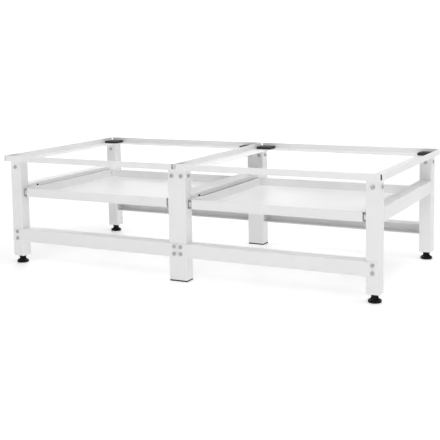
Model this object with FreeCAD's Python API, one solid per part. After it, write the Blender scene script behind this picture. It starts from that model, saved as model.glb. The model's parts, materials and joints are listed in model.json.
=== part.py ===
import FreeCAD, Part
import math
import os

os.makedirs("parts", exist_ok=True)

# Double pedestal for two laundry machines. Millimetres.
# Origin: middle of the footprint, on the floor. +X right, +Y back, +Z up.

# Overall size
OVERALL_WIDTH = 1280.0
OVERALL_DEPTH = 630.0
OVERALL_HEIGHT = 360.0

# Sheet thicknesses
FRAME_SHEET = 2.0
RAIL_SHEET = 2.0
TUBE_WALL = 1.8
SHELF_SHEET = 1.2
SLIDE_SHEET = 1.2
FRAME_BEND_RADIUS = 2.0
RAIL_BEND_RADIUS = 1.8
SHELF_BEND_RADIUS = 0.7

# Top frames
LIP_HEIGHT = 19.0
FLANGE_WIDTH = 60.0
SEAM_BETWEEN_FRAMES = 1.0
CORNER_SLIT = 4.5
WINDOW_CORNER_RADIUS = 5.0
SIDE_OVERHANG = 12.0
END_OVERHANG = 15.0

# Legs
LEG_SIDE = 40.0
CENTRE_LEG_WIDTH = 60.0
LEG_CORNER_RADIUS = 3.0
FOOT_GAP = 25.0
CAP_LIP = 4.0
CAP_PLUG = 18.0
CAP_WALL = 3.6

# Low rails. The back ones are less tall than the front ones and end level with them at the top.
LOW_RAIL_TOP = 117.0
FRONT_RAIL_HEIGHT = 43.0
BACK_RAIL_HEIGHT = 34.0
LOW_RAIL_DEPTH = 38.0
RAIL_TAB_MARGIN = 2.0
RAIL_END_CLEARANCE = 0.5
FRONT_BOLT_SPREAD = 22.0
BACK_BOLT_SPREAD = 16.0
RAIL_RELIEF_RADIUS = 2.5
CENTRE_BOLT_OFFSET = 11.0

# Side rails that carry the slides, hung a fixed drop below the leg tops
SIDE_RAIL_DROP = 79.0
SIDE_RAIL_HEIGHT = 40.0
END_PLATE_THICKNESS = 3.0
END_PLATE_DROP = 32.0

# Slides
SLIDE_HEIGHT = 27.0
SLIDE_SPACE = 13.0
SLIDE_FRONT_SETBACK = 15.0
SLIDE_BACK_SETBACK = 85.0
OUTER_LIP_REACH = 11.0
OUTER_RETURN = 1.4
MIDDLE_WEB_START = 2.0
MIDDLE_LIP_END = 9.4
MIDDLE_HEIGHT = 22.4
MIDDLE_RETURN = 1.2
INNER_LIP_START = 4.4
INNER_HEIGHT = 16.8
INNER_FOOT = 0.8
SLIDING_GAP = 0.3
BUMPER_LENGTH = 5.0
BUMPER_HEIGHT = 18.0
RUNNER_END_MARGIN = 2.0
GUIDE_LENGTH = 12.0
GUIDE_HEIGHT = 13.6
GUIDE_END = 10.2
RUBBER_EDGE_RADIUS = 1.0

# Shelves. The front wall stands a little proud of the slides and the back wall a little short.
SHELF_WALL_HEIGHT = 28.0
SHELF_FRONT_REACH = 2.0
SHELF_BACK_MARGIN = 2.0
SHELF_HEM = 8.0
SHELF_CORNER_GAP = 0.8
WING_LENGTH = 66.0
WING_REACH = 9.5
WING_CLEARANCE = 0.6
BUTTON_RADIUS = 3.0
BUTTON_LENGTH = 4.0
BUTTON_GAP = 0.5

# Anti-slip pads
PAD_SIDE = 54.0
PAD_THICKNESS = 8.0
PAD_CORNER_RADIUS = 5.0
PAD_EDGE_RADIUS = 1.5
PAD_TO_LIP = 4.0

# Socket brackets that stand inside the leg tops
BRACKET_SHEET = 2.0
BRACKET_DROP = 40.0
BRACKET_CLEARANCE = 0.2
BRACKET_DEPTH = 34.0
CORNER_BRACKET_WIDTH = 34.0
CENTRE_BRACKET_WIDTH = 26.0
TOP_BOLT_DROP = 20.0
TOP_BOLT_OFFSET = 16.0

# Fasteners
BOLT_RADIUS = 3.0
BOLT_HEAD_RADIUS = 6.0
BOLT_HEAD_HEIGHT = 3.2
BOLT_HEAD_ROUND = 1.6
BOLT_LENGTH = 13.0
SOCKET_ACROSS_FLATS = 4.0
SOCKET_DEPTH = 2.0
NUT_ACROSS_FLATS = 10.0
NUT_HEIGHT = 5.0
HOLE_CLEARANCE = 0.3
THREAD_CLEARANCE = 0.05
SCREW_RADIUS = 2.0
SCREW_HEAD_RADIUS = 3.6
SCREW_LENGTH = 9.0
SCREW_END_MARGIN = 50.0
RIVET_RADIUS = 2.0
RIVET_HEAD_RADIUS = 4.0
RIVET_HEAD_HEIGHT = 1.2
RIVET_HEAD_ROUND = 0.8
RIVET_TAIL_RADIUS = 3.0
RIVET_END_MARGIN = 70.0

# Levelling feet
STUD_RADIUS = 4.0
STUD_TOP = 66.0
STUD_BOTTOM = 5.0
STUD_TIP_CHAMFER = 1.0
GLIDE_RADIUS = 19.0
GLIDE_EDGE = 1.5
GLIDE_RIM_HEIGHT = 8.0
GLIDE_HUB_RADIUS = 10.5
GLIDE_CONE_TOP = 15.0
GLIDE_TOP = 18.2
LOCK_NUT_ACROSS_FLATS = 21.0
LOCK_NUT_HEIGHT = 6.5
INSERT_THICKNESS = 6.0

# Drawing aids: how far a cutter runs past a face, and how close counts as on a face
CUT_PAST = 1.0
NEAR = 0.1

# Positions that follow from the sizes above
HALF_WIDTH = OVERALL_WIDTH / 2
HALF_DEPTH = OVERALL_DEPTH / 2
LEG_OUTER_X = HALF_WIDTH - SIDE_OVERHANG
LEG_INNER_X = LEG_OUTER_X - LEG_SIDE
LEG_CENTRE_X = LEG_OUTER_X - LEG_SIDE / 2
LEG_OUTER_Y = HALF_DEPTH - END_OVERHANG
LEG_INNER_Y = LEG_OUTER_Y - LEG_SIDE
LEG_CENTRE_Y = LEG_OUTER_Y - LEG_SIDE / 2
CENTRE_HALF = CENTRE_LEG_WIDTH / 2
LEG_TOP = OVERALL_HEIGHT - LIP_HEIGHT
FLANGE_TOP = LEG_TOP + FRAME_SHEET
TOP_BOLT_Z = LEG_TOP - TOP_BOLT_DROP
SIDE_RAIL_TOP = LEG_TOP - SIDE_RAIL_DROP
SIDE_RAIL_BOTTOM = SIDE_RAIL_TOP - SIDE_RAIL_HEIGHT
SLIDE_BOTTOM = SIDE_RAIL_BOTTOM
SLIDE_MIDDLE_Z = SLIDE_BOTTOM + SLIDE_HEIGHT / 2
SLIDE_TOP = SLIDE_BOTTOM + SLIDE_HEIGHT
SLIDE_FRONT = -LEG_OUTER_Y + SLIDE_FRONT_SETBACK
SLIDE_BACK = LEG_OUTER_Y - SLIDE_BACK_SETBACK
SLIDE_HALF_LENGTH = (SLIDE_BACK - SLIDE_FRONT) / 2
SLIDE_MIDDLE_Y = SLIDE_FRONT + SLIDE_HALF_LENGTH
SHELF_FRONT = SLIDE_FRONT - SHELF_FRONT_REACH
SHELF_BACK = SLIDE_BACK - SHELF_BACK_MARGIN
SHELF_HALF = (LEG_INNER_X - CENTRE_HALF) / 2 - SLIDE_SPACE
BAY_CENTRE_X = (LEG_INNER_X + CENTRE_HALF) / 2
FOOT_PLACES = {
    "front_left": (-LEG_CENTRE_X, -LEG_CENTRE_Y),
    "front_right": (LEG_CENTRE_X, -LEG_CENTRE_Y),
    "back_left": (-LEG_CENTRE_X, LEG_CENTRE_Y),
    "back_right": (LEG_CENTRE_X, LEG_CENTRE_Y),
}

X_AXIS = FreeCAD.Vector(1, 0, 0)
Y_AXIS = FreeCAD.Vector(0, 1, 0)
Z_AXIS = FreeCAD.Vector(0, 0, 1)


def save(name, shapes):
    """Write one node, a single solid or a group of separate solids."""
    shape = shapes[0] if len(shapes) == 1 else Part.makeCompound(shapes)
    shape.exportStep("parts/" + name + ".step")


def block(x0, x1, y0, y1, z0, z1):
    """A plain block between two corners, given in any order."""
    low = FreeCAD.Vector(min(x0, x1), min(y0, y1), min(z0, z1))
    return Part.makeBox(abs(x1 - x0), abs(y1 - y0), abs(z1 - z0), low)


def fuse(shapes):
    """Join pieces of one sheet into one solid."""
    whole = shapes[0].multiFuse(shapes[1:]).removeSplitter()
    return whole.Solids[0]


def along(edge, axis):
    """True when a straight edge runs along the axis."""
    if not isinstance(edge.Curve, Part.Line):
        return False
    return abs(abs(edge.tangentAt(edge.FirstParameter).dot(axis)) - 1) < 1e-6


def rounded(solid, radius, axis, wanted):
    """Round the edges along the axis whose middle point passes the test."""
    edges = [e for e in solid.Edges if along(e, axis) and wanted(e.CenterOfMass)]
    return solid.makeFillet(radius, edges)


def upright_block(x0, x1, y0, y1, z0, z1, radius):
    """A block with its four upright edges rounded."""
    return rounded(block(x0, x1, y0, y1, z0, z1), radius, Z_AXIS, lambda p: True)


def tube(x0, x1, y0, y1, z0, z1):
    """An upright rectangular tube."""
    wall = TUBE_WALL
    outside = upright_block(x0, x1, y0, y1, z0, z1, LEG_CORNER_RADIUS)
    inner_radius = LEG_CORNER_RADIUS - wall
    hollow = upright_block(x0 + wall, x1 - wall, y0 + wall, y1 - wall,
                           z0 - CUT_PAST, z1 + CUT_PAST, inner_radius)
    return outside.cut(hollow).Solids[0]


def rod(radius, start, direction, length):
    """A round bar or hole from a start point along a direction."""
    return Part.makeCylinder(radius, length, FreeCAD.Vector(*start), direction)


def hexagon(across_flats, height, start, direction):
    """A six-sided bar along a direction."""
    corner = across_flats / math.sqrt(3)
    points = []
    for index in range(7):
        angle = math.radians(60 * index)
        points.append(FreeCAD.Vector(corner * math.cos(angle), corner * math.sin(angle), 0))
    bar = Part.Face(Part.makePolygon(points)).extrude(FreeCAD.Vector(0, 0, height))
    turn = FreeCAD.Rotation(Z_AXIS, direction)
    bar.Placement = FreeCAD.Placement(FreeCAD.Vector(*start), turn)
    return bar


def round_head(point, direction, radius, height, edge_radius):
    """A low head that sits on the point, its outer rim rounded; the direction points into the work."""
    top = point - direction * height
    head = Part.makeCylinder(radius, height, top, direction)
    rim = [e for e in head.Edges if (e.CenterOfMass - top).Length < NEAR]
    return head.makeFillet(edge_radius, [rim[0]])


def bolt(face_point, inward):
    """A pan head bolt: the head sits outside the face, the shank points inward."""
    point = FreeCAD.Vector(*face_point)
    head = round_head(point, inward, BOLT_HEAD_RADIUS, BOLT_HEAD_HEIGHT, BOLT_HEAD_ROUND)
    shank = Part.makeCylinder(BOLT_RADIUS, BOLT_LENGTH, point, inward)
    socket_start = point - inward * (BOLT_HEAD_HEIGHT + CUT_PAST)
    socket = hexagon(SOCKET_ACROSS_FLATS, SOCKET_DEPTH + CUT_PAST, socket_start, inward)
    return fuse([head, shank]).cut(socket).Solids[0]


def nut(start, direction, flats=NUT_ACROSS_FLATS, height=NUT_HEIGHT, radius=BOLT_RADIUS):
    """A hexagon nut with a bore that clears its bolt."""
    body = hexagon(flats, height, start, direction)
    bore_start = FreeCAD.Vector(*start) - direction * CUT_PAST
    bore = Part.makeCylinder(radius + THREAD_CLEARANCE, height + 2 * CUT_PAST, bore_start, direction)
    return body.cut(bore).Solids[0]


def mirror_x(shape):
    """The same piece on the other side of the middle plane."""
    return shape.mirror(FreeCAD.Vector(0, 0, 0), X_AXIS)


# Top frames

def top_frame():
    """Left frame: a flat ring flange with an upstanding lip on each side."""
    x0 = -HALF_WIDTH
    x1 = -SEAM_BETWEEN_FRAMES / 2
    y0 = -HALF_DEPTH
    y1 = HALF_DEPTH
    sheet = FRAME_SHEET
    flange = FLANGE_WIDTH
    ring = block(x0, x1, y0, y1, LEG_TOP, FLANGE_TOP)
    window = block(x0 + flange, x1 - flange, y0 + flange, y1 - flange,
                   LEG_TOP - CUT_PAST, FLANGE_TOP + CUT_PAST)
    lip_start = x0 + sheet + CORNER_SLIT
    lip_end = x1 - sheet - CORNER_SLIT
    pieces = [ring.cut(window)]
    pieces.append(block(x0, x0 + sheet, y0, y1, LEG_TOP, OVERALL_HEIGHT))
    pieces.append(block(x1 - sheet, x1, y0, y1, LEG_TOP, OVERALL_HEIGHT))
    pieces.append(block(lip_start, lip_end, y0, y0 + sheet, LEG_TOP, OVERALL_HEIGHT))
    pieces.append(block(lip_start, lip_end, y1 - sheet, y1, LEG_TOP, OVERALL_HEIGHT))
    frame = fuse(pieces)
    side_fold = lambda p: p.z < LEG_TOP + NEAR and (p.x < x0 + NEAR or p.x > x1 - NEAR)
    frame = rounded(frame, FRAME_BEND_RADIUS, Y_AXIS, side_fold)
    window_corner = lambda p: abs(abs(p.y) - (HALF_DEPTH - flange)) < NEAR
    return rounded(frame, WINDOW_CORNER_RADIUS, Z_AXIS, window_corner)


def pad(corner_x, corner_y, step_x, step_y):
    """One anti-slip pad in a frame corner; the steps point into the frame."""
    start = FRAME_SHEET + PAD_TO_LIP
    x0 = corner_x + step_x * start
    y0 = corner_y + step_y * start
    x1 = x0 + step_x * PAD_SIDE
    y1 = y0 + step_y * PAD_SIDE
    top = FLANGE_TOP + PAD_THICKNESS
    body = upright_block(x0, x1, y0, y1, FLANGE_TOP, top, PAD_CORNER_RADIUS)
    upper = [e for e in body.Edges if e.CenterOfMass.z > top - NEAR]
    return body.makeFillet(PAD_EDGE_RADIUS, upper)


def corner_pads():
    """Four pads on each frame."""
    seam = SEAM_BETWEEN_FRAMES / 2
    pads = []
    for y, step_y in ((-HALF_DEPTH, 1), (HALF_DEPTH, -1)):
        for x, step_x in ((-HALF_WIDTH, 1), (-seam, -1), (seam, 1), (HALF_WIDTH, -1)):
            pads.append(pad(x, y, step_x, step_y))
    return pads


# Bolts between the legs and the frames. Each entry: point on the leg face, inward direction.

def top_bolt_places():
    """Two bolts for each corner leg and four for each centre leg."""
    places = []
    for y_face in (-LEG_OUTER_Y, LEG_INNER_Y):
        y_middle = y_face + LEG_SIDE / 2
        for side in (-1, 1):
            places.append(((side * LEG_CENTRE_X, y_face, TOP_BOLT_Z), Y_AXIS))
            places.append(((side * LEG_OUTER_X, y_middle, TOP_BOLT_Z), X_AXIS * -side))
            places.append(((side * TOP_BOLT_OFFSET, y_face, TOP_BOLT_Z), Y_AXIS))
            places.append(((side * CENTRE_HALF, y_middle, TOP_BOLT_Z), X_AXIS * -side))
    return places


def rail_bolt_places():
    """Two bolts at each end of each low rail, one above the other."""
    places = []
    y = LEG_OUTER_Y + RAIL_SHEET
    rows = (
        (-y, Y_AXIS, FRONT_RAIL_HEIGHT, FRONT_BOLT_SPREAD),
        (y, Y_AXIS * -1, BACK_RAIL_HEIGHT, BACK_BOLT_SPREAD),
    )
    for y_face, inward, height, spread in rows:
        middle = LOW_RAIL_TOP - height / 2
        for z in (middle - spread / 2, middle + spread / 2):
            for x in (-LEG_CENTRE_X, -CENTRE_BOLT_OFFSET, CENTRE_BOLT_OFFSET, LEG_CENTRE_X):
                places.append(((x, y_face, z), inward))
    return places


def side_bolt_places():
    """One bolt through each end of each side rail into the leg beside it."""
    z = SIDE_RAIL_TOP - RAIL_SHEET - END_PLATE_DROP / 2
    face = LEG_INNER_Y - END_PLATE_THICKNESS
    places = []
    for x in (-LEG_CENTRE_X, 0.0, LEG_CENTRE_X):
        places.append(((x, face, z), Y_AXIS))
        places.append(((x, -face, z), Y_AXIS * -1))
    return places


def with_bolt_holes(solid, places):
    """Cut the clearance holes of every listed bolt that crosses the solid."""
    for point, inward in places:
        start = FreeCAD.Vector(*point) - inward * CUT_PAST
        hole = Part.makeCylinder(BOLT_RADIUS + HOLE_CLEARANCE, BOLT_LENGTH, start, inward)
        if hole.common(solid).Volume > NEAR:
            solid = solid.cut(hole)
    return solid.Solids[0]


def nut_behind(places, depth):
    """One nut on each bolt, its near face at the given depth behind the bolt head."""
    nuts = []
    for point, inward in places:
        start = FreeCAD.Vector(*point) + inward * depth
        nuts.append(nut(tuple(start), inward))
    return nuts


# Legs

def leg(x0, x1, y0, y1, bottom):
    """A leg tube with every bolt hole that crosses it."""
    body = tube(x0, x1, y0, y1, bottom, LEG_TOP)
    return with_bolt_holes(body, top_bolt_places() + rail_bolt_places() + side_bolt_places())


def centre_leg_cap(y0):
    """Plastic cap under a centre leg: a lip on the floor and a plug in the tube."""
    y1 = y0 + LEG_SIDE
    wall = TUBE_WALL
    lip = upright_block(-CENTRE_HALF, CENTRE_HALF, y0, y1, 0, CAP_LIP, LEG_CORNER_RADIUS)
    plug = upright_block(-CENTRE_HALF + wall, CENTRE_HALF - wall, y0 + wall, y1 - wall,
                         CAP_LIP, CAP_PLUG, LEG_CORNER_RADIUS - wall)
    hollow = block(-CENTRE_HALF + wall + CAP_WALL, CENTRE_HALF - wall - CAP_WALL,
                   y0 + wall + CAP_WALL, y1 - wall - CAP_WALL, CAP_LIP, CAP_PLUG + CUT_PAST)
    return fuse([lip, plug]).cut(hollow).Solids[0]


def leg_insert(x, y):
    """Threaded plate welded into the bottom of a corner leg."""
    half = LEG_SIDE / 2 - TUBE_WALL
    plate = upright_block(x - half, x + half, y - half, y + half, FOOT_GAP,
                          FOOT_GAP + INSERT_THICKNESS, LEG_CORNER_RADIUS - TUBE_WALL)
    thread = rod(STUD_RADIUS + THREAD_CLEARANCE, (x, y, FOOT_GAP - CUT_PAST), Z_AXIS,
                 INSERT_THICKNESS + 2 * CUT_PAST)
    return plate.cut(thread).Solids[0]


def foot_stud(x, y):
    """Levelling stud with a chamfered tip."""
    stud = rod(STUD_RADIUS, (x, y, STUD_BOTTOM), Z_AXIS, STUD_TOP - STUD_BOTTOM)
    tip = [e for e in stud.Edges if e.CenterOfMass.z > STUD_TOP - NEAR]
    return stud.makeChamfer(STUD_TIP_CHAMFER, tip)


def foot_glide(x, y):
    """Round plastic glide: flat base, cone and hub moulded around the stud."""
    edge = GLIDE_EDGE
    outline = [
        (0, 0),
        (GLIDE_RADIUS - edge, 0),
        (GLIDE_RADIUS, edge),
        (GLIDE_RADIUS, GLIDE_RIM_HEIGHT - edge),
        (GLIDE_RADIUS - edge, GLIDE_RIM_HEIGHT),
        (GLIDE_HUB_RADIUS, GLIDE_CONE_TOP),
        (GLIDE_HUB_RADIUS, GLIDE_TOP),
        (0, GLIDE_TOP),
        (0, 0),
    ]
    points = [FreeCAD.Vector(x + r, y, z) for r, z in outline]
    body = Part.Face(Part.makePolygon(points)).revolve(FreeCAD.Vector(x, y, 0), Z_AXIS, 360)
    pocket = rod(STUD_RADIUS, (x, y, STUD_BOTTOM), Z_AXIS, GLIDE_TOP)
    return Part.Solid(body.Shells[0]).cut(pocket).Solids[0]


# Socket brackets

def socket_bracket(corner_x, y_face, step_x, width):
    """An upright angle inside a leg top, in the corner at corner_x; step_x points away from it."""
    inside = TUBE_WALL + BRACKET_CLEARANCE
    x0 = corner_x + step_x * inside
    y0 = y_face + inside
    bottom = LEG_TOP - BRACKET_DROP
    across = block(x0, x0 + step_x * width, y0, y0 + BRACKET_SHEET, bottom, LEG_TOP)
    beside = block(x0, x0 + step_x * BRACKET_SHEET, y0, y0 + BRACKET_DEPTH, bottom, LEG_TOP)
    return with_bolt_holes(fuse([across, beside]), top_bolt_places())


def socket_brackets():
    """Each frame has one in each corner, so a centre leg holds two side by side."""
    brackets = []
    for y_face in (-LEG_OUTER_Y, LEG_INNER_Y):
        for side in (-1, 1):
            brackets.append(socket_bracket(side * LEG_OUTER_X, y_face, -side, CORNER_BRACKET_WIDTH))
            brackets.append(socket_bracket(side * CENTRE_HALF, y_face, -side, CENTRE_BRACKET_WIDTH))
    return brackets


# Low rails

def low_rail(height):
    """Left rail as it stands at the front: a channel open to the back, its web running on as bolt tabs."""
    sheet = RAIL_SHEET
    bottom = LOW_RAIL_TOP - height
    face = -LEG_OUTER_Y - sheet
    tab_left = -LEG_OUTER_X + RAIL_TAB_MARGIN
    tab_right = -SEAM_BETWEEN_FRAMES / 2
    flange_left = -LEG_INNER_X + RAIL_END_CLEARANCE
    flange_right = -CENTRE_HALF - RAIL_END_CLEARANCE
    back = face + LOW_RAIL_DEPTH
    web = block(tab_left, tab_right, face, face + sheet, bottom, LOW_RAIL_TOP)
    lower = block(flange_left, flange_right, face, back, bottom, bottom + sheet)
    upper = block(flange_left, flange_right, face, back, LOW_RAIL_TOP - sheet, LOW_RAIL_TOP)
    rail = fuse([web, lower, upper])
    front_fold = lambda p: flange_left < p.x < flange_right and p.y < face + NEAR
    rail = rounded(rail, RAIL_BEND_RADIUS, X_AXIS, front_fold)
    for x in (flange_left, flange_right):
        for z in (bottom, LOW_RAIL_TOP):
            start = (x, face - CUT_PAST, z)
            rail = rail.cut(rod(RAIL_RELIEF_RADIUS, start, Y_AXIS, sheet + 2 * CUT_PAST))
    return rail.Solids[0]


# Side rails

def side_rail(x0, x1):
    """A channel open at the bottom, closed at each end by a welded plate."""
    sheet = RAIL_SHEET
    end = LEG_INNER_Y
    outside = block(x0, x1, -end, end, SIDE_RAIL_BOTTOM, SIDE_RAIL_TOP)
    hollow = block(x0 + sheet, x1 - sheet, -end - CUT_PAST, end + CUT_PAST,
                   SIDE_RAIL_BOTTOM - CUT_PAST, SIDE_RAIL_TOP - sheet)
    rail = outside.cut(hollow).Solids[0]
    rail = rounded(rail, RAIL_BEND_RADIUS, Y_AXIS, lambda p: p.z > SIDE_RAIL_TOP - NEAR)
    for start, direction in slide_screw_places():
        hole = rod(SCREW_RADIUS + THREAD_CLEARANCE, start, direction, SCREW_LENGTH)
        if hole.common(rail).Volume > NEAR:
            rail = rail.cut(hole)
    return rail.Solids[0]


def end_plates():
    """A plate in each end of each side rail, with its bolt hole."""
    plates = []
    top = SIDE_RAIL_TOP - RAIL_SHEET
    spans = ((-LEG_OUTER_X, -LEG_INNER_X), (-CENTRE_HALF, CENTRE_HALF), (LEG_INNER_X, LEG_OUTER_X))
    for x0, x1 in spans:
        for y in (-LEG_INNER_Y, LEG_INNER_Y - END_PLATE_THICKNESS):
            plate = block(x0 + RAIL_SHEET, x1 - RAIL_SHEET, y, y + END_PLATE_THICKNESS,
                          top - END_PLATE_DROP, top)
            plates.append(with_bolt_holes(plate, side_bolt_places()))
    return plates


# Slides. Each is drawn in its own section: u runs from the rail face to the shelf,
# v runs up from the slide's middle line. rail_x is the rail face, side is +1 when u runs along +X.

SLIDE_SIDES = {
    "left_outer": (-LEG_INNER_X, 1),
    "left_inner": (-CENTRE_HALF, -1),
    "right_inner": (CENTRE_HALF, 1),
    "right_outer": (LEG_INNER_X, -1),
}


def section_bar(rail_x, side, u0, u1, v0, v1, y0, y1):
    """A bar along Y from a rectangle of the slide's section."""
    middle = SLIDE_MIDDLE_Z
    return block(rail_x + side * u0, rail_x + side * u1, y0, y1, middle + v0, middle + v1)


def channel_member(rail_x, side, web, lip, half, sheet, hook_u, hook_v):
    """A slide member: a web, two lips and a hooked edge on each lip.

    web and lip are (u0, u1) spans; hook_u is the hook's span and hook_v its reach,
    positive outward and negative inward from the lip."""
    y0 = SLIDE_FRONT
    y1 = SLIDE_BACK
    pieces = [section_bar(rail_x, side, web[0], web[1], -half, half, y0, y1)]
    for sign in (-1, 1):
        inner_v = sign * (half - sheet)
        outer_v = sign * half
        pieces.append(section_bar(rail_x, side, lip[0], lip[1], inner_v, outer_v, y0, y1))
        start_v = outer_v if hook_v > 0 else inner_v
        end_v = start_v + sign * hook_v
        pieces.append(section_bar(rail_x, side, hook_u[0], hook_u[1], start_v, end_v, y0, y1))
    return fuse(pieces)


def slide_screw_places():
    """Three screws through each outer member into its rail."""
    places = []
    for rail_x, side in SLIDE_SIDES.values():
        for step in (-1, 0, 1):
            y = SLIDE_MIDDLE_Y + step * (SLIDE_HALF_LENGTH - SCREW_END_MARGIN)
            places.append(((rail_x + side * SLIDE_SHEET, y, SLIDE_MIDDLE_Z), X_AXIS * -side))
    return places


def countersunk_cone(start, direction):
    """The cone of a flush screw head, one sheet deep."""
    return Part.makeCone(SCREW_HEAD_RADIUS, SCREW_RADIUS + THREAD_CLEARANCE, SLIDE_SHEET,
                         FreeCAD.Vector(*start), direction)


def slide_screw(start, direction):
    """A flush screw: its head fills the countersink of the outer member."""
    shank = rod(SCREW_RADIUS, start, direction, SCREW_LENGTH)
    return fuse([countersunk_cone(start, direction), shank])


def slide_outer(rail_x, side):
    """Fixed member on the rail, hooked inward around the middle member."""
    half = SLIDE_HEIGHT / 2
    hook = (OUTER_LIP_REACH - SLIDE_SHEET, OUTER_LIP_REACH)
    member = channel_member(rail_x, side, (0, SLIDE_SHEET), (0, OUTER_LIP_REACH), half,
                            SLIDE_SHEET, hook, -OUTER_RETURN)
    for start, direction in slide_screw_places():
        cone = countersunk_cone(start, direction)
        if cone.common(member).Volume > NEAR:
            member = member.cut(cone)
    return member.Solids[0]


def slide_middle(rail_x, side):
    """Middle member, nested in the outer one and hooked inward around the inner one."""
    half = MIDDLE_HEIGHT / 2
    web = (MIDDLE_WEB_START, MIDDLE_WEB_START + SLIDE_SHEET)
    hook = (MIDDLE_LIP_END - SLIDE_SHEET, MIDDLE_LIP_END)
    return channel_member(rail_x, side, web, (MIDDLE_WEB_START, MIDDLE_LIP_END), half,
                          SLIDE_SHEET, hook, -MIDDLE_RETURN)


def rivet_places(rail_x, side):
    """Three rivets through the shelf wall and the inner member of one slide."""
    wall_x = rail_x + side * (SLIDE_SPACE + SHELF_SHEET)
    places = []
    for step in (-1, 0, 1):
        y = SLIDE_MIDDLE_Y + step * (SLIDE_HALF_LENGTH - RIVET_END_MARGIN)
        places.append(((wall_x, y, SLIDE_MIDDLE_Z), X_AXIS * -side))
    return places


def rivet(start, direction):
    """A rivet with a low round head inside the shelf and a tail inside the slide."""
    point = FreeCAD.Vector(*start)
    head = round_head(point, direction, RIVET_HEAD_RADIUS, RIVET_HEAD_HEIGHT, RIVET_HEAD_ROUND)
    grip = SHELF_SHEET + SLIDE_SHEET
    shank = Part.makeCylinder(RIVET_RADIUS, grip, point, direction)
    tail_start = point + direction * grip
    tail = Part.makeCylinder(RIVET_TAIL_RADIUS, RIVET_HEAD_HEIGHT, tail_start, direction)
    return fuse([head, shank, tail])


def slide_inner(rail_x, side):
    """Inner member on the shelf wall, its lips hooked outward inside the middle member."""
    half = INNER_HEIGHT / 2
    web = (SLIDE_SPACE - SLIDE_SHEET, SLIDE_SPACE)
    foot = (INNER_LIP_START, INNER_LIP_START + SLIDE_SHEET)
    member = channel_member(rail_x, side, web, (INNER_LIP_START, SLIDE_SPACE), half,
                            SLIDE_SHEET, foot, INNER_FOOT)
    for start, direction in rivet_places(rail_x, side):
        member = member.cut(rod(RIVET_RADIUS, start, direction, SLIDE_SPACE))
    return member.Solids[0]


def slide_runners(rail_x, side):
    """A guide block flush with the middle member's front end, and low-friction strips round its lips."""
    y0 = SLIDE_FRONT + RUNNER_END_MARGIN
    y1 = SLIDE_BACK - RUNNER_END_MARGIN
    outer_face = SLIDE_HEIGHT / 2 - SLIDE_SHEET - SLIDING_GAP
    middle_half = MIDDLE_HEIGHT / 2
    inner_start = INNER_HEIGHT / 2 + INNER_FOOT + SLIDING_GAP
    u0 = MIDDLE_WEB_START + SLIDE_SHEET
    u1 = MIDDLE_LIP_END - SLIDE_SHEET
    guide = section_bar(rail_x, side, u0, GUIDE_END, -GUIDE_HEIGHT / 2, GUIDE_HEIGHT / 2,
                        SLIDE_FRONT, SLIDE_FRONT + GUIDE_LENGTH)
    strips = [guide]
    for sign in (-1, 1):
        strips.append(section_bar(rail_x, side, u0, MIDDLE_LIP_END, sign * middle_half,
                                  sign * outer_face, y0, y1))
        strips.append(section_bar(rail_x, side, u0, u1, sign * inner_start,
                                  sign * (middle_half - SLIDE_SHEET), y0, y1))
    return strips


def slide_bumper(rail_x, side):
    """Rubber block at the back of the outer member, just behind the moving members."""
    y0 = SLIDE_BACK + SLIDING_GAP
    body = section_bar(rail_x, side, 0, OUTER_LIP_REACH - SLIDE_SHEET, -BUMPER_HEIGHT / 2,
                       BUMPER_HEIGHT / 2, y0, y0 + BUMPER_LENGTH)
    return rounded(body, RUBBER_EDGE_RADIUS, X_AXIS, lambda p: True)


# Shelves

def shelf():
    """Left shelf: a folded tray with open corner seams, hemmed edges and front wings."""
    sheet = SHELF_SHEET
    x0 = -BAY_CENTRE_X - SHELF_HALF
    x1 = -BAY_CENTRE_X + SHELF_HALF
    y0 = SHELF_FRONT
    y1 = SHELF_BACK
    z0 = SIDE_RAIL_BOTTOM
    z1 = z0 + SHELF_WALL_HEIGHT
    gap = sheet + SHELF_CORNER_GAP
    hem_z = z1 - SHELF_HEM
    corner = gap + sheet
    pieces = [block(x0, x1, y0, y1, z0, z0 + sheet)]
    for x, inward in ((x0, 1), (x1, -1)):
        pieces.append(block(x, x + inward * sheet, y0 + gap, y1 - gap, z0, z1))
        pieces.append(block(x, x + inward * 2 * sheet, y0 + corner, y1 - corner, hem_z, z1))
    for y, inward in ((y0, 1), (y1, -1)):
        pieces.append(block(x0, x1, y, y + inward * sheet, z0, z1))
        pieces.append(block(x0 + corner, x1 - corner, y, y + inward * 2 * sheet, hem_z, z1))
    wing_z = SLIDE_TOP + WING_CLEARANCE
    for x, outward in ((x0, -1), (x1, 1)):
        pieces.append(block(x - outward * sheet, x + outward * WING_REACH, SLIDE_FRONT,
                            SLIDE_FRONT + WING_LENGTH, wing_z, wing_z + sheet))
    tray = fuse(pieces)
    side_fold = lambda p: abs(p.z - z0) < NEAR and (abs(p.x - x0) < NEAR or abs(p.x - x1) < NEAR)
    tray = rounded(tray, SHELF_BEND_RADIUS, Y_AXIS, side_fold)
    for place in ("left_outer", "left_inner"):
        for start, direction in rivet_places(*SLIDE_SIDES[place]):
            tray = tray.cut(rod(RIVET_RADIUS, start, direction, SHELF_SHEET))
    return tray.Solids[0]


def stop_button(rail_x, side):
    """Rubber button on the rail face that the shelf's front wing closes against."""
    y = SLIDE_FRONT + WING_LENGTH + BUTTON_GAP + BUTTON_RADIUS
    z = SLIDE_TOP + SLIDING_GAP + BUTTON_RADIUS
    body = rod(BUTTON_RADIUS, (rail_x, y, z), X_AXIS * side, BUTTON_LENGTH)
    end = [e for e in body.Edges if abs(e.CenterOfMass.x - rail_x) > BUTTON_LENGTH - NEAR]
    return body.makeFillet(RUBBER_EDGE_RADIUS, [end[0]])


# Build and write every node

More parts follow.
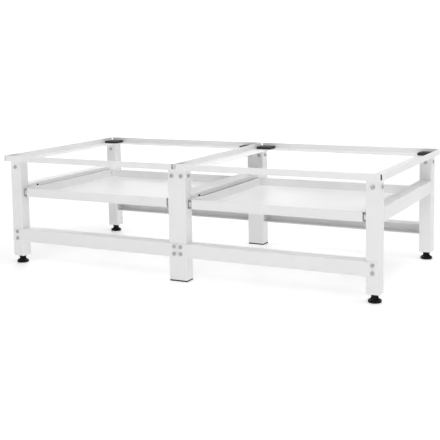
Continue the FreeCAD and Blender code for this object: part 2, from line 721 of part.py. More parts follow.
left_frame = top_frame()
save("top_frame_left", [left_frame])
save("top_frame_right", [mirror_x(left_frame)])
save("corner_pads", corner_pads())
save("frame_socket_brackets", socket_brackets())
save("top_bolts", [bolt(point, inward) for point, inward in top_bolt_places()])
top_nut_depth = TUBE_WALL + BRACKET_CLEARANCE + BRACKET_SHEET
save("top_nuts", nut_behind(top_bolt_places(), top_nut_depth))

for row, y0 in (("front", -LEG_OUTER_Y), ("back", LEG_INNER_Y)):
    y1 = y0 + LEG_SIDE
    save(row + "_left_leg", [leg(-LEG_OUTER_X, -LEG_INNER_X, y0, y1, FOOT_GAP)])
    save(row + "_right_leg", [leg(LEG_INNER_X, LEG_OUTER_X, y0, y1, FOOT_GAP)])
    save(row + "_centre_leg", [leg(-CENTRE_HALF, CENTRE_HALF, y0, y1, CAP_LIP)])
save("centre_leg_caps", [centre_leg_cap(-LEG_OUTER_Y), centre_leg_cap(LEG_INNER_Y)])

save("leg_inserts", [leg_insert(x, y) for x, y in FOOT_PLACES.values()])
lock_nuts = []
for x, y in FOOT_PLACES.values():
    nut_bottom = FOOT_GAP - LOCK_NUT_HEIGHT
    lock_nuts.append(nut((x, y, nut_bottom), Z_AXIS, LOCK_NUT_ACROSS_FLATS, LOCK_NUT_HEIGHT, STUD_RADIUS))
save("foot_lock_nuts", lock_nuts)
for place, (x, y) in FOOT_PLACES.items():
    save(place + "_foot_stud", [foot_stud(x, y)])
    save(place + "_foot_glide", [foot_glide(x, y)])

front_rail = low_rail(FRONT_RAIL_HEIGHT)
back_rail = low_rail(BACK_RAIL_HEIGHT).mirror(FreeCAD.Vector(0, 0, 0), Y_AXIS)
for row, rail in (("front", front_rail), ("back", back_rail)):
    save(row + "_left_low_rail", [with_bolt_holes(rail, rail_bolt_places())])
    save(row + "_right_low_rail", [with_bolt_holes(mirror_x(rail), rail_bolt_places())])
save("rail_bolts", [bolt(point, inward) for point, inward in rail_bolt_places()])
save("rail_nuts", nut_behind(rail_bolt_places(), RAIL_SHEET + TUBE_WALL))

save("left_side_rail", [side_rail(-LEG_OUTER_X, -LEG_INNER_X)])
save("centre_side_rail", [side_rail(-CENTRE_HALF, CENTRE_HALF)])
save("right_side_rail", [side_rail(LEG_INNER_X, LEG_OUTER_X)])
save("side_rail_end_plates", end_plates())
save("side_rail_bolts", [bolt(point, inward) for point, inward in side_bolt_places()])
save("side_rail_nuts", nut_behind(side_bolt_places(), END_PLATE_THICKNESS + TUBE_WALL))

for place, (rail_x, side) in SLIDE_SIDES.items():
    save(place + "_slide_outer", [slide_outer(rail_x, side)])
    save(place + "_slide_middle", [slide_middle(rail_x, side)])
    save(place + "_slide_inner", [slide_inner(rail_x, side)])
    save(place + "_slide_runners", slide_runners(rail_x, side))
save("slide_screws", [slide_screw(start, direction) for start, direction in slide_screw_places()])
save("slide_bumpers", [slide_bumper(rail_x, side) for rail_x, side in SLIDE_SIDES.values()])
save("stop_buttons", [stop_button(rail_x, side) for rail_x, side in SLIDE_SIDES.values()])

left_shelf = shelf()
save("left_shelf", [left_shelf])
save("right_shelf", [mirror_x(left_shelf)])
for bay in ("left", "right"):
    rivets = []
    for place in (bay + "_outer", bay + "_inner"):
        rivets += [rivet(start, direction) for start, direction in rivet_places(*SLIDE_SIDES[place])]
    save(bay + "_shelf_rivets", rivets)
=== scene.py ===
# %% [markdown]
# # A white double pedestal for two laundry machines
#
# The CAD frame already holds every piece at its real size. This lesson dresses it: it gives each
# sheet, tube, slide, foot and pad the finish of the real one, and it replaces the few pieces whose
# moulded, rolled or threaded shape shows from close by.

# %% Load the frame
import bmesh
import bpy
import json
import math
import numpy as np
from mathutils import Matrix, Vector


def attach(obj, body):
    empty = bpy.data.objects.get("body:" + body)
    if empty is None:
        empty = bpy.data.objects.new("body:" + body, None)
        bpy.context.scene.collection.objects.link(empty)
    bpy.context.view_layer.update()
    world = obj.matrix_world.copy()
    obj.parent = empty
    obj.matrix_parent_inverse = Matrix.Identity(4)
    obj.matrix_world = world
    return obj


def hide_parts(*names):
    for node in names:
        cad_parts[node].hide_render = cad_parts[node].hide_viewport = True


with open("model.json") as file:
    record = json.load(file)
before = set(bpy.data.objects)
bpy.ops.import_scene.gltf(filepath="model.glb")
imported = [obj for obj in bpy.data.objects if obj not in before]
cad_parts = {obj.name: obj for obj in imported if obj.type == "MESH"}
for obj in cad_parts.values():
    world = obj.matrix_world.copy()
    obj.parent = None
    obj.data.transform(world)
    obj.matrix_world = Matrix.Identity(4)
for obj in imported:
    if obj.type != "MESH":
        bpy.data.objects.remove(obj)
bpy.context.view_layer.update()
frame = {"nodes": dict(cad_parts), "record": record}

# %% [markdown]
# ## The camera
#
# The photograph looks down a little from the front right. The lens, the place and the angles below
# were fitted to lines measured along the rails and legs. In the photograph the legs stand upright
# although the camera looks down, which a photographer gets by shifting the lens. Blender's camera
# has the same shift, as a share of the image side. Only part of it is used here and the pitch does
# the rest, so that the object also stays inside the frame in views from other sides.

# %% Camera
IMAGE_SIDE = 440
SENSOR_WIDTH = 36
FOCAL_PIXELS = 906.4
CAMERA_PLACE = (1.3407, -2.6259, 0.7024)
YAW, PITCH, ROLL = (math.radians(a) for a in (26.75, -6.49, -0.92))
PRINCIPAL_X, PRINCIPAL_Y = 226, 150
VIEW_DEPTH = 60

camera = bpy.data.objects.new("camera", bpy.data.cameras.new("camera"))
bpy.context.scene.collection.objects.link(camera)
camera.location = CAMERA_PLACE
turned = Matrix.Rotation(YAW, 3, "Z")
pitched = Matrix.Rotation(math.pi / 2 + PITCH, 3, "X")
rolled_over = Matrix.Rotation(ROLL, 3, "Z")
camera.rotation_euler = (turned @ pitched @ rolled_over).to_euler()
camera.data.sensor_width = SENSOR_WIDTH
camera.data.lens = FOCAL_PIXELS / IMAGE_SIDE * SENSOR_WIDTH
camera.data.shift_x = (IMAGE_SIDE / 2 - PRINCIPAL_X) / IMAGE_SIDE
camera.data.shift_y = (PRINCIPAL_Y - IMAGE_SIDE / 2) / IMAGE_SIDE
camera.data.clip_end = VIEW_DEPTH
bpy.context.scene.camera = camera
print("lens", round(camera.data.lens, 1), "mm, shifts",
      round(camera.data.shift_x, 3), round(camera.data.shift_y, 3))

# %% [markdown]
# ## Floor and light
#
# The product stands in a white studio. A large pale floor catches a faint shadow under the feet.
# Wide soft lights hang over it, behind it and in front of it. A smaller and nearer one at the
# upper right reaches the walls inside the shelves. The surrounding is brightest near the horizon,
# dark overhead and a little darker behind the photographer. So the tops are the lightest faces,
# and the upright ones are a little darker, less so in the right half.

# %% Studio
FLOOR_HALF = 30.0
LIGHT_AIM = (0, 0, 0.2)
# Each light has its place and its side in metres, and its power in watts.
LIGHTS = {
    "top_light": ((0.3, 0.5, 4.2), 3.0, 27),
    "back_light": ((-2.5, 3.5, 2.6), 3.0, 53),
    "front_light": ((0.6, -3.6, 4.0), 3.0, 74),
    "right_light": ((1.1, -0.1, 2.25), 1.7, 21),
}


def quad(name, corners):
    """One flat face through four corner points."""
    mesh = bpy.data.meshes.new(name)
    mesh.from_pydata(corners, [], [(0, 1, 2, 3)])
    obj = bpy.data.objects.new(name, mesh)
    bpy.context.scene.collection.objects.link(obj)
    return obj


def soft_light(name, place, side, power):
    """A square area light that faces the middle of the object."""
    light = bpy.data.lights.new(name, "AREA")
    light.size = side
    light.energy = power
    obj = bpy.data.objects.new(name, light)
    bpy.context.scene.collection.objects.link(obj)
    obj.location = place
    towards = Vector(LIGHT_AIM) - Vector(place)
    obj.rotation_euler = towards.to_track_quat("-Z", "Y").to_euler()


floor = quad("studio_floor", [(-FLOOR_HALF, -FLOOR_HALF, 0), (FLOOR_HALF, -FLOOR_HALF, 0),
                              (FLOOR_HALF, FLOOR_HALF, 0), (-FLOOR_HALF, FLOOR_HALF, 0)])
for name, (place, side, power) in LIGHTS.items():
    soft_light(name, place, side, power)

# %% Surrounding
# A brightness goes from its first value to its second one as the direction crosses the band.
HEIGHT_BAND, HEIGHT_LIGHT = (0.12, 0.45), (1.02, 0.14)
DEPTH_BAND, DEPTH_LIGHT = (-0.3, 0.3), (0.70, 1.0)

world = bpy.data.worlds.new("studio")
bpy.context.scene.world = world
world.use_nodes = True
sky = world.node_tree.nodes
sky_links = world.node_tree.links
direction = sky.new("ShaderNodeTexCoord")
split = sky.new("ShaderNodeSeparateXYZ")
sky_links.new(direction.outputs["Generated"], split.inputs[0])


def sky_ramp(axis, band, light):
    """A value that runs between two ends along one axis of the sky direction."""
    ramp = sky.new("ShaderNodeMapRange")
    for label, value in zip(("From Min", "From Max", "To Min", "To Max"), (*band, *light)):
        ramp.inputs[label].default_value = value
    sky_links.new(split.outputs[axis], ramp.inputs["Value"])
    return ramp.outputs[0]


strength = sky.new("ShaderNodeMath")
strength.operation = "MULTIPLY"
sky_links.new(sky_ramp("Z", HEIGHT_BAND, HEIGHT_LIGHT), strength.inputs[0])
sky_links.new(sky_ramp("Y", DEPTH_BAND, DEPTH_LIGHT), strength.inputs[1])
sky_links.new(strength.outputs[0], sky["Background"].inputs["Strength"])
sky["Background"].inputs["Color"].default_value = (1.0, 1.0, 1.0, 1.0)
bpy.context.scene.view_settings.view_transform = "Standard"
print("surrounding", HEIGHT_LIGHT[0], "at the horizon and", HEIGHT_LIGHT[1], "overhead")

# %% [markdown]
# ## Helpers for node materials
#
# Every finish starts from the object's own coordinates in metres, so a pattern keeps its real size
# on every piece. One helper adds a node, sets its values and joins its inputs in one call. Another
# starts a shared shader group with named inputs and outputs, and a third adds a noise pattern.

# %% Node helpers
def add_node(tree, kind, settings=None, **inputs):
    """A node with its settings; an input is a plain value or another node's output socket.

    An input is named by its label, or by i and its number where a label isn't enough."""
    node = tree.nodes.new(kind)
    for key, value in (settings or {}).items():
        setattr(node, key, value)
    for key, value in inputs.items():
        numbered = key[0] == "i" and key[1:].isdigit()
        socket = node.inputs[int(key[1:]) if numbered else key.replace("_", " ")]
        if isinstance(value, bpy.types.NodeSocket):
            tree.links.new(value, socket)
        else:
            socket.default_value = value
    return node


def new_group(name, numbers, outputs):
    """An empty shader node group: a vector and named numbers go in, named outputs come out."""
    tree = bpy.data.node_groups.new(name, "ShaderNodeTree")
    sockets = tree.interface
    sockets.new_socket("Vector", in_out="INPUT", socket_type="NodeSocketVector")
    for label, value in numbers.items():
        socket = sockets.new_socket(label, in_out="INPUT", socket_type="NodeSocketFloat")
        socket.default_value = value
    for label in outputs:
        sockets.new_socket(label, in_out="OUTPUT", socket_type="NodeSocketFloat")
    return tree, tree.nodes.new("NodeGroupInput"), tree.nodes.new("NodeGroupOutput")


def noise(tree, vector, scale, detail, roughness):
    """A noise pattern on the given coordinates."""
    return add_node(tree, "ShaderNodeTexNoise", Vector=vector, Scale=scale, Detail=detail,
                    Roughness=roughness)


# %% [markdown]
# ## Three shared surface effects
#
# Powder coat melts on the steel and keeps a fine orange-peel skin, with slow changes of gloss over
# a hand's width. Rolled and plated strip carries thin lines along its length. Moulded plastic and
# rubber have a sand-blasted grain from the mould, and a little dust, most of it on upper faces.
# The
# same mask is also a painted sheen: it paints the upper faces lighter, as light from above would.
# Each effect is one group with its scales as inputs, so every material sets its own size.

# %% Orange peel group
peel, peel_in, peel_out = new_group("orange_peel", {"Grain": 900.0, "Drift": 7.0},
                                    ["Height", "Tone"])
place = peel_in.outputs["Vector"]
fine = noise(peel, place, peel_in.outputs["Grain"], 2.0, 0.45)
slow = noise(peel, place, peel_in.outputs["Drift"], 3.0, 0.55)
peel.links.new(fine.outputs["Fac"], peel_out.inputs["Height"])
peel.links.new(slow.outputs["Fac"], peel_out.inputs["Tone"])

# %% Rolled lines group
LINE_STRETCH = (1.0, 0.02, 1.0)  # lines are fifty times longer along the depth than across it

rolled, rolled_in, rolled_out = new_group("rolled_lines", {"Grain": 1400.0, "Drift": 40.0},
                                          ["Height", "Tone"])
place = rolled_in.outputs["Vector"]
stretched = add_node(rolled, "ShaderNodeVectorMath", {"operation": "MULTIPLY"}, i0=place,
                     i1=LINE_STRETCH)
lines = noise(rolled, stretched.outputs[0], rolled_in.outputs["Grain"], 3.0, 0.6)
cloud = noise(rolled, place, rolled_in.outputs["Drift"], 4.0, 0.6)
rolled.links.new(lines.outputs["Fac"], rolled_out.inputs["Height"])
rolled.links.new(cloud.outputs["Fac"], rolled_out.inputs["Tone"])

# %% Moulded grain group
# The mask below is dust and a painted sheen: upper faces get more of it and come out lighter.
DUST_AND_SHEEN_FROM_ABOVE, DUST_EVERYWHERE = 0.6, 0.1

grain, grain_in, grain_out = new_group("moulded_grain", {"Grain": 1600.0, "Drift": 25.0},
                                       ["Height", "Dust_and_sheen"])
place = grain_in.outputs["Vector"]
cells = add_node(grain, "ShaderNodeTexVoronoi", Vector=place, Scale=grain_in.outputs["Grain"])
patches = noise(grain, place, grain_in.outputs["Drift"], 5.0, 0.65)
facing = add_node(grain, "ShaderNodeNewGeometry")
upward = add_node(grain, "ShaderNodeSeparateXYZ", Vector=facing.outputs["Normal"])
lifted = add_node(grain, "ShaderNodeMath", {"operation": "MULTIPLY_ADD", "use_clamp": True},
                  i0=upward.outputs["Z"], i1=DUST_AND_SHEEN_FROM_ABOVE, i2=DUST_EVERYWHERE)
dust_and_sheen = add_node(grain, "ShaderNodeMath", {"operation": "MULTIPLY", "use_clamp": True},
                i0=patches.outputs["Fac"], i1=lifted.outputs[0])
grain.links.new(cells.outputs["Distance"], grain_out.inputs["Height"])
grain.links.new(dust_and_sheen.outputs[0], grain_out.inputs["Dust_and_sheen"])
print("shared effects", [g.name for g in bpy.data.node_groups])

# %% [markdown]
# ## How a finish is built
#
# A finish mixes two close colours by the slow tone, varies the gloss by the same tone, and takes
# its skin from the fine height through a bump. The depth of the bump is a real length in metres,
# about a tenth of a millimetre for powder coat. Shine says how much light the surface mirrors when
# seen from straight ahead. The black feet are matt, so theirs is low.

# %% Finish builder
TONE_LOW, TONE_HIGH = 0.3, 0.7
BUMP_STRENGTH = 0.6


def finish(name, effect, dark, light, gloss, metal, bump_depth, grain_size, drift,
           tone="Tone", shine=0.5):
    """A principled surface whose colour and roughness run between two ends along a slow mask."""
    material = bpy.data.materials.new(name)
    material.use_nodes = True
    tree = material.node_tree
    shader = tree.nodes["Principled BSDF"]
    place = add_node(tree, "ShaderNodeTexCoord")
    pattern = add_node(tree, "ShaderNodeGroup", {"node_tree": effect})
    tree.links.new(place.outputs["Object"], pattern.inputs["Vector"])
    pattern.inputs["Grain"].default_value = grain_size
    pattern.inputs["Drift"].default_value = drift
    span = add_node(tree, "ShaderNodeMapRange", Value=pattern.outputs[tone],
                    From_Min=TONE_LOW, From_Max=TONE_HIGH)
    colour = add_node(tree, "ShaderNodeMix", {"data_type": "RGBA"}, i0=span.outputs[0],
                      i6=(*dark, 1), i7=(*light, 1))
    tree.links.new(colour.outputs[2], shader.inputs["Base Color"])
    rough = add_node(tree, "ShaderNodeMapRange", Value=pattern.outputs[tone],
                     From_Min=TONE_LOW, From_Max=TONE_HIGH, To_Min=gloss[0], To_Max=gloss[1])
    tree.links.new(rough.outputs[0], shader.inputs["Roughness"])
    skin = add_node(tree, "ShaderNodeBump", Strength=BUMP_STRENGTH, Distance=bump_depth,
                    Height=pattern.outputs["Height"])
    tree.links.new(skin.outputs[0], shader.inputs["Normal"])
    shader.inputs["Metallic"].default_value = metal
    shader.inputs["Specular IOR Level"].default_value = shine
    return material


# %% [markdown]
# ## Six finishes
#
# Powder coat covers every sheet and tube, and the rivets. Bolts, nuts, screws, studs and the
# shelves' own slide members are zinc plated. The other slide members are rolled strip with a
# little oil on it. The slides run on white nylon. Glides, collars and caps are black plastic.
# Pads, bumpers and stop buttons are black rubber.

# %% Finishes
FINISHES = {
    "white_powder_coat": dict(
        effect=peel, dark=(0.876, 0.877, 0.876), light=(0.906, 0.907, 0.906), gloss=(0.36, 0.46),
        metal=0.0, bump_depth=0.00012, grain_size=900.0, drift=7.0),
    "zinc_plated_steel": dict(
        effect=rolled, dark=(0.42, 0.43, 0.44), light=(0.58, 0.59, 0.60), gloss=(0.28, 0.42),
        metal=1.0, bump_depth=0.00005, grain_size=1400.0, drift=60.0),
    "slide_steel": dict(
        effect=rolled, dark=(0.46, 0.465, 0.47), light=(0.60, 0.605, 0.61), gloss=(0.30, 0.45),
        metal=1.0, bump_depth=0.00005, grain_size=1400.0, drift=35.0),
    # Nylon, plastic and rubber run from dark to light by dust and a painted sheen on upper faces.
    "white_nylon": dict(
        effect=grain, dark=(0.76, 0.76, 0.74), light=(0.84, 0.84, 0.82), gloss=(0.34, 0.46),
        metal=0.0, bump_depth=0.00005, grain_size=1500.0, drift=40.0, tone="Dust_and_sheen"),
    "black_plastic": dict(
        effect=grain, dark=(0.004, 0.004, 0.004), light=(0.010, 0.010, 0.011), gloss=(0.42, 0.56),
        metal=0.0, bump_depth=0.00008, grain_size=1500.0, drift=40.0, tone="Dust_and_sheen", shine=0.18),
    "black_rubber": dict(
        effect=grain, dark=(0.014, 0.014, 0.014), light=(0.075, 0.074, 0.072), gloss=(0.58, 0.75),
        metal=0.0, bump_depth=0.00012, grain_size=1100.0, drift=45.0, tone="Dust_and_sheen"),
}
finishes = {name: finish(name, **values) for name, values in FINISHES.items()}
for part in frame["record"]["subparts"]:
    obj = frame["nodes"][part["node"]]
    obj.data.materials.clear()
    obj.data.materials.append(finishes[part["material_slot"]])
print("dressed", len(frame["nodes"]), "CAD nodes in", len(finishes), "finishes")

# %% [markdown]
# ## The floor's paper
#
# Studio paper is white and matt. A photographer lights it apart from the product, until it burns
# out to plain white. Here the paper glows a little under the object, where the shadow must stay,
# and more with the distance from it.

# %% Floor paper
PAPER_WHITE = 0.90
PAPER_ROUGH, PAPER_ROUGHEST = 0.55, 0.60
GLOW_START, GLOW_END = 1.0, 6.0
GLOW_NEAR, GLOW_FAR = 0.33, 0.80

floor_paint = bpy.data.materials.new("studio_paper")
floor_paint.use_nodes = True
tree = floor_paint.node_tree
paper = tree.nodes["Principled BSDF"]
fibres = add_node(tree, "ShaderNodeTexNoise", Scale=60.0, Detail=4.0)
paper_tone = add_node(tree, "ShaderNodeMapRange", Value=fibres.outputs["Fac"],
                      To_Min=PAPER_ROUGH, To_Max=PAPER_ROUGHEST)
tree.links.new(paper_tone.outputs[0], paper.inputs["Roughness"])
paper.inputs["Base Color"].default_value = (PAPER_WHITE, PAPER_WHITE, PAPER_WHITE, 1)
spot = add_node(tree, "ShaderNodeTexCoord")
distance = add_node(tree, "ShaderNodeVectorMath", {"operation": "LENGTH"},
                    i0=spot.outputs["Object"])
glow = add_node(tree, "ShaderNodeMapRange", Value=distance.outputs["Value"],
                From_Min=GLOW_START, From_Max=GLOW_END, To_Min=GLOW_NEAR, To_Max=GLOW_FAR)
tree.links.new(glow.outputs[0], paper.inputs["Emission Color"])
paper.inputs["Emission Strength"].default_value = 1.0
floor.data.materials.append(floor_paint)
print("floor glow", GLOW_NEAR, "near the object and", GLOW_FAR, "far from it")

# %% [markdown]
# ## Surfaces from grids of points
#
# The pieces below are moulded, turned, threaded or rolled, so each one is a surface worked out
# with numpy. Each row of a grid goes round a closed outline, and the rows follow each other along
# the piece. Rows that shrink to one line or one point close the ends, and points that fall
# together are merged.

# %% Surface helpers
MM = 0.001
MERGE_METRES, TINY_EDGE_METRES = 1e-6, 1e-7
SHARP_DEGREES = 35


def surface(name, grids, body, slot, replaced):
    """One object from grids of points in millimetres; each row of a grid is a closed loop."""
    points, faces, start = [], [], 0
    for grid in grids:
        rows, columns = grid.shape[:2]
        index = start + np.arange(rows * columns).reshape(rows, columns)
        beside = np.roll(index, -1, axis=1)
        ring = np.stack([index[:-1], beside[:-1], beside[1:], index[1:]], axis=-1)
        points.append(grid.reshape(-1, 3) * MM)
        faces.append(ring.reshape(-1, 4))
        start += rows * columns
    mesh = bpy.data.meshes.new(name)
    mesh.from_pydata(np.concatenate(points).tolist(), [], np.concatenate(faces).tolist())
    work = bmesh.new()
    work.from_mesh(mesh)
    bmesh.ops.remove_doubles(work, verts=work.verts, dist=MERGE_METRES)
    bmesh.ops.dissolve_degenerate(work, edges=work.edges, dist=TINY_EDGE_METRES)
    bmesh.ops.recalc_face_normals(work, faces=work.faces)
    work.to_mesh(mesh)
    work.free()
    mesh.polygons.foreach_set("use_smooth", np.ones(len(mesh.polygons), bool))
    mesh.set_sharp_from_angle(angle=math.radians(SHARP_DEGREES))
    mesh.materials.append(finishes[slot])
    obj = bpy.data.objects.new(name, mesh)
    bpy.context.scene.collection.objects.link(obj)
    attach(obj, body)
    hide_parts(*replaced)
    print(name, len(mesh.polygons), "faces")


def full_turn(columns):
    """Angles once round the axis."""
    return np.linspace(0, 2 * np.pi, columns, endpoint=False)


def round_grid(x, y, radius, height, turn):
    """Points at (x + radius cos turn, y + radius sin turn, height), one row for each height."""
    radius = np.broadcast_to(radius, (len(height), len(turn)))
    level = np.repeat(height[:, None], len(turn), axis=1)
    return np.stack([x + radius * np.cos(turn), y + radius * np.sin(turn), level], axis=-1)


# %% [markdown]
# ## Rubber pads
#
# Eight soft pads lie in the frame corners and take the machines' feet. A moulded pad has a rounded
# rim and shallow square grooves that let it grip. The plan is a superellipse, which is a square
# with soft corners. The profile runs from the middle over the grooves and the rim, down the side
# and back under the pad.

# %% Pads
PAD_PLACES = [(x, y) for x in (-607.0, -33.5, 33.5, 607.0) for y in (-282.0, 282.0)]
PAD_HALF, PAD_BASE, PAD_TOP, PAD_RIM = 27.0, 343.0, 351.0, 1.5
PAD_COLUMNS, PAD_TOP_ROWS, PAD_RIM_ROWS = 96, 73, 7
SQUARENESS = 9
FOOT_EDGE = 0.4
GROOVES, GROOVE_DEPTH = 6, 1.1
RIB_LEVEL, GROOVE_STEEPNESS = 0.72, 6


def pad_grid(x, y):
    """Plan radius: (|cos|^n + |sin|^n)^(-1/n). Height: flat ribs less clipped cosine grooves."""
    turn = full_turn(PAD_COLUMNS)
    squared = np.abs(np.cos(turn)) ** SQUARENESS + np.abs(np.sin(turn)) ** SQUARENESS
    plan = squared ** (-1 / SQUARENESS)
    top = np.linspace(0, 1 - PAD_RIM / PAD_HALF, PAD_TOP_ROWS)
    wave = 0.5 - 0.5 * np.cos(2 * np.pi * GROOVES * top / top[-1])
    groove = GROOVE_DEPTH * np.clip((wave - RIB_LEVEL) * GROOVE_STEEPNESS, 0, 1)
    rim = np.linspace(0, np.pi / 2, PAD_RIM_ROWS)[1:]
    rim_reach = (PAD_HALF - PAD_RIM * (1 - np.sin(rim))) / PAD_HALF
    rim_height = PAD_TOP - PAD_RIM * (1 - np.cos(rim))
    reach = np.concatenate([top, rim_reach, [1.0, 1.0 - FOOT_EDGE / PAD_HALF, 0.0]])
    height = np.concatenate([PAD_TOP - groove, rim_height,
                             [PAD_BASE + FOOT_EDGE, PAD_BASE, PAD_BASE]])
    return round_grid(x, y, PAD_HALF * reach[:, None] * plan[None, :], height, turn)


surface("rubber_pads", [pad_grid(x, y) for x, y in PAD_PLACES], "frame", "black_rubber",
        ["corner_pads"])

# %% [markdown]
# ## Levelling feet
#
# Each corner leg stands on a moulded glide with a threaded stud and a black lock collar. The glide
# is turned: a profile of radius and height goes round the axis, with a fluted neck for the
# fingers. The stud is an 8 mm thread, whose groove climbs 1.25 mm each turn. It shows when the
# foot is screwed out. The collar is a hexagon with both ends chamfered.

# %% Glides
FOOT_PLACES = {"front_left": (-608.0, -280.0), "front_right": (608.0, -280.0),
               "back_left": (-608.0, 280.0), "back_right": (608.0, 280.0)}
GLIDE_COLUMNS = 120
# The profile in radius and height. A rounding is an arc with its middle and its own radius.
SOLE = [[0, 0], [8, 0], [15.5, 0]]
LOW_ROUND, HIGH_ROUND, TOP_ROUND = (17.4, 1.6, 1.6), (17.4, 6.2, 1.6), (9.6, 17.3, 0.8)
NECK_WIDE, NECK_NARROWING, NECK_HOLLOW = 17.2, 6.9, 0.75
NECK_LOW, NECK_RISE, NECK_SWEEP = 7.9, 6.6, 1.35
NECK_END = [[10.1, 15.2]]
TOP_FACE = [[4.2, 18.1], [0, 18.1]]
# The flutes fade out above and below one level, and the top face inside this radius has none.
FLUTES, FLUTE_DEPTH, FLUTE_LEVEL, FLUTE_SPREAD = 12, 0.8, 16.2, 1.3
PLAIN_RADIUS = 8


def arc(x, y, radius, first, last, steps):
    """Points of a circle's arc as (radius, height) pairs; angles in degrees."""
    angle = np.radians(np.linspace(first, last, steps))
    return np.stack([x + radius * np.cos(angle), y + radius * np.sin(angle)], axis=-1)


def glide_grid(x, y):
    """Profile round the axis; flutes take depth * (1 + cos(flutes * turn)) / 2 off the radius."""
    turn = full_turn(GLIDE_COLUMNS)
    sweep = np.linspace(0, 1, 12)[1:-1]
    neck = np.stack([NECK_WIDE - NECK_NARROWING * sweep ** NECK_HOLLOW,
                     NECK_LOW + NECK_RISE * sweep ** NECK_SWEEP], axis=-1)
    profile = np.concatenate([SOLE, arc(*LOW_ROUND, -90, 0, 6), arc(*HIGH_ROUND, 0, 85, 6),
                              neck, NECK_END, arc(*TOP_ROUND, 0, 90, 5), TOP_FACE])
    radius, height = profile[:, :1], profile[:, 1]
    near = np.exp(-((height - FLUTE_LEVEL) / FLUTE_SPREAD) ** 2)[:, None]
    fluted = near * (radius > PLAIN_RADIUS)
    radius = radius - fluted * FLUTE_DEPTH * (1 + np.cos(FLUTES * turn)) / 2
    return round_grid(x, y, radius, height, turn)


for place, (x, y) in FOOT_PLACES.items():
    surface(place + "_glide", [glide_grid(x, y)], place + "_foot", "black_plastic",
            [place + "_foot_glide"])

# %% Threaded studs
THREAD_PITCH, THREAD_DEPTH, STUD_RADIUS = 1.25, 0.6, 4.0
STUD_BOTTOM, STUD_TOP = 5.0, 66.0
STUD_ROWS, STUD_COLUMNS = 391, 20
FLANK_STEEPNESS, CREST_FLAT = 2.3, 0.1
# Both ends start at this share of the radius and grow by the other one in each millimetre.
END_SHARE, END_GROWTH = 0.7, 0.3


def stud_grid(x, y):
    """Radius: full less depth times a triangle wave of height / pitch - turn / full turn."""
    turn = full_turn(STUD_COLUMNS)
    height = np.linspace(STUD_BOTTOM, STUD_TOP, STUD_ROWS)
    phase = np.mod(height[:, None] / THREAD_PITCH - turn / (2 * np.pi), 1.0)
    groove = np.clip(FLANK_STEEPNESS * np.abs(phase - 0.5) - CREST_FLAT, 0, 1)
    from_end = np.minimum(height - STUD_BOTTOM, STUD_TOP - height)
    taper = np.minimum(1.0, from_end * END_GROWTH + END_SHARE)
    radius = (STUD_RADIUS - THREAD_DEPTH * groove) * taper[:, None]
    pole = np.zeros((1, len(turn)))
    return round_grid(x, y, np.concatenate([pole, radius, pole]),
                      np.concatenate([[STUD_BOTTOM], height, [STUD_TOP]]), turn)


for place, (x, y) in FOOT_PLACES.items():
    surface(place + "_stud", [stud_grid(x, y)], place + "_foot", "zinc_plated_steel",
            [place + "_foot_stud"])

# %% Lock collars
COLLAR_FLATS, COLLAR_BASE, COLLAR_TOP, COLLAR_BORE = 21.0, 18.5, 25.0, 4.1
COLLAR_ROWS, COLLAR_COLUMNS = 14, 96
CHAMFER_RADIUS, CHAMFER_SLOPE = 10.3, 1.9


def collar_grid(x, y):
    """Radius: flats / 2 / cos(angle from a flat's middle), cut near each end by a cone."""
    turn = full_turn(COLLAR_COLUMNS)
    hexagon = COLLAR_FLATS / 2 / np.cos(np.mod(turn, np.pi / 3) - np.pi / 6)
    height = np.linspace(COLLAR_BASE, COLLAR_TOP, COLLAR_ROWS)
    from_end = np.minimum(height - COLLAR_BASE, COLLAR_TOP - height)
    wall = np.minimum(hexagon[None, :], (CHAMFER_RADIUS + CHAMFER_SLOPE * from_end)[:, None])
    bore = np.full((1, len(turn)), COLLAR_BORE)
    return round_grid(x, y, np.concatenate([bore, wall, bore, bore]),
                      np.concatenate([[COLLAR_BASE], height, [COLLAR_TOP, COLLAR_BASE]]), turn)


surface("lock_collars", [collar_grid(x, y) for x, y in FOOT_PLACES.values()], "frame",
        "black_plastic", ["foot_lock_nuts"])

# %% [markdown]
# ## Slides
#
# A telescopic slide is three rolled channels that run inside each other. Rolled strip has no sharp
# folds: the edges curl into round raceways. Each member is a bent centre line, thickened to both
# sides by half the strip and carried along the depth. Its end rows shrink to the centre line, so
# both ends are closed.

# %% Rolled sections
STRIP, STRIP_BEND = 1.2, 1.1
SLIDE_MIDDLE_HEIGHT = 235.5
SLIDE_ENDS = (-285.0, 215.0)
SLIDE_STATIONS = 21


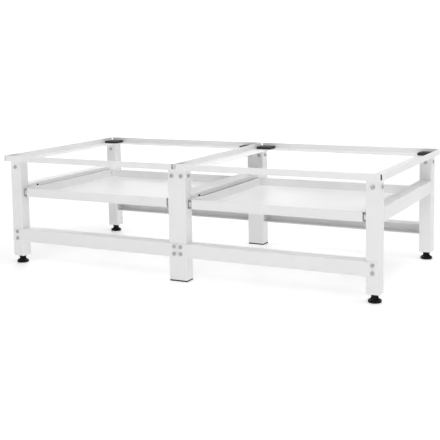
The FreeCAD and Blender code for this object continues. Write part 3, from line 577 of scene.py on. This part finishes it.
def bent_line(corners):
    """The polyline with a parabola at each inner corner, which starts one bend away from it:
    (1 - t)^2 * leave + 2 t (1 - t) * corner + t^2 * enter."""
    pieces = [corners[:1]]
    t = np.linspace(0, 1, 7)[:, None]
    for before, corner, after in zip(corners[:-2], corners[1:-1], corners[2:]):
        leave = corner + (before - corner) / np.linalg.norm(before - corner) * STRIP_BEND
        enter = corner + (after - corner) / np.linalg.norm(after - corner) * STRIP_BEND
        pieces.append((1 - t) ** 2 * leave + 2 * t * (1 - t) * corner + t ** 2 * enter)
    pieces.append(corners[-1:])
    return np.concatenate(pieces)


def strip_grid(line, rail_x, side):
    """The line thickened along its normals, carried from the slide's front end to its back end."""
    along = np.gradient(line, axis=0)
    along /= np.linalg.norm(along, axis=1, keepdims=True)
    normal = np.stack([-along[:, 1], along[:, 0]], axis=-1) * STRIP / 2
    loop = np.concatenate([line + normal, (line - normal)[::-1]])
    closed = np.concatenate([line, line[::-1]])
    sections = np.stack([closed] + [loop] * SLIDE_STATIONS + [closed])
    front, back = SLIDE_ENDS
    stations = np.concatenate([[front], np.linspace(front, back, SLIDE_STATIONS), [back]])
    x = rail_x + side * sections[..., 0]
    y = np.repeat(stations[:, None], sections.shape[1], axis=1)
    return np.stack([x, y, SLIDE_MIDDLE_HEIGHT + sections[..., 1]], axis=-1)


def channel(web, lip, half, hook):
    """Corners of a channel's centre line: hook, lip, web, lip, hook, from the rail face."""
    return np.array([(lip, half + hook), (lip, half), (web, half),
                     (web, -half), (lip, -half), (lip, -half - hook)], float)


# %% Slide members
SECTIONS = {
    "outer": channel(web=0.6, lip=10.4, half=12.9, hook=-1.4),
    "middle": channel(web=2.6, lip=8.8, half=10.6, hook=-1.2),
    "inner": channel(web=12.4, lip=5.0, half=7.8, hook=0.8),
}
MEMBER_SLOTS = {"outer": "slide_steel", "middle": "slide_steel", "inner": "zinc_plated_steel"}
# Each slide has its rail face's place, the way to the shelf along X, and the tray it carries.
SLIDES = {
    "left_outer": (-588.0, 1, "left_shelf_tray"),
    "left_inner": (-30.0, -1, "left_shelf_tray"),
    "right_inner": (30.0, 1, "right_shelf_tray"),
    "right_outer": (588.0, -1, "right_shelf_tray"),
}
for place, (rail_x, side, tray) in SLIDES.items():
    bodies = {"outer": "frame", "middle": place + "_slide_middle_member", "inner": tray}
    for member, corners in SECTIONS.items():
        surface(f"{place}_{member}_member", [strip_grid(bent_line(corners), rail_x, side)],
                bodies[member], MEMBER_SLOTS[member], [f"{place}_slide_{member}"])
